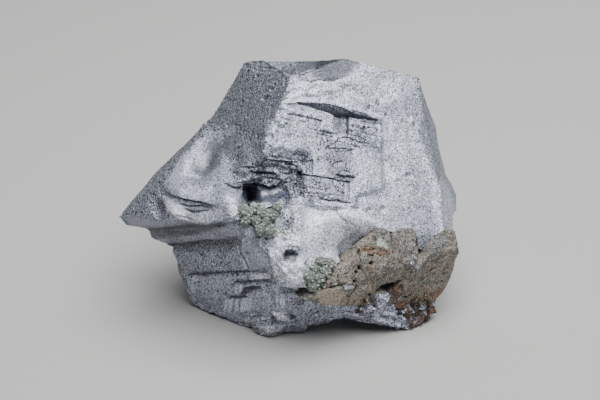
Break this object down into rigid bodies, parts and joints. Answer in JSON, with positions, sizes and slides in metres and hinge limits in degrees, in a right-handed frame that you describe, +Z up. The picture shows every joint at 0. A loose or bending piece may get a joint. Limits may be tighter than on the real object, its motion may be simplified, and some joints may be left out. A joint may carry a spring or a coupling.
{
  "type": "galena specimen",
  "caption": "Lead-grey galena crystal mass with stepped cube cleavage, a brown siderite patch and pale green crusts; a display mineral that rests on its base.",
  "frame": {"origin": "middle of the specimen's outline on the surface that it rests on", "axes": "+X to the right of the show side, along the longest extent; -Y out of the show side, towards the viewer; +Z up"},
  "size_m": [0.059, 0.0398, 0.041],
  "materials": {
    "galena": "lead-grey metallic mineral, satin to dull, finely pitted",
    "siderite": "olive-brown porous carbonate with rusty stains, dull",
    "green_crust": "pale grey-green drusy crust, slightly waxy"
  },
  "bodies": {
    "root": {"galena_crystal": "galena", "siderite_matrix": "siderite", "green_crust_left": "green_crust", "green_crust_right": "green_crust"}
  },
  "joints": []
}
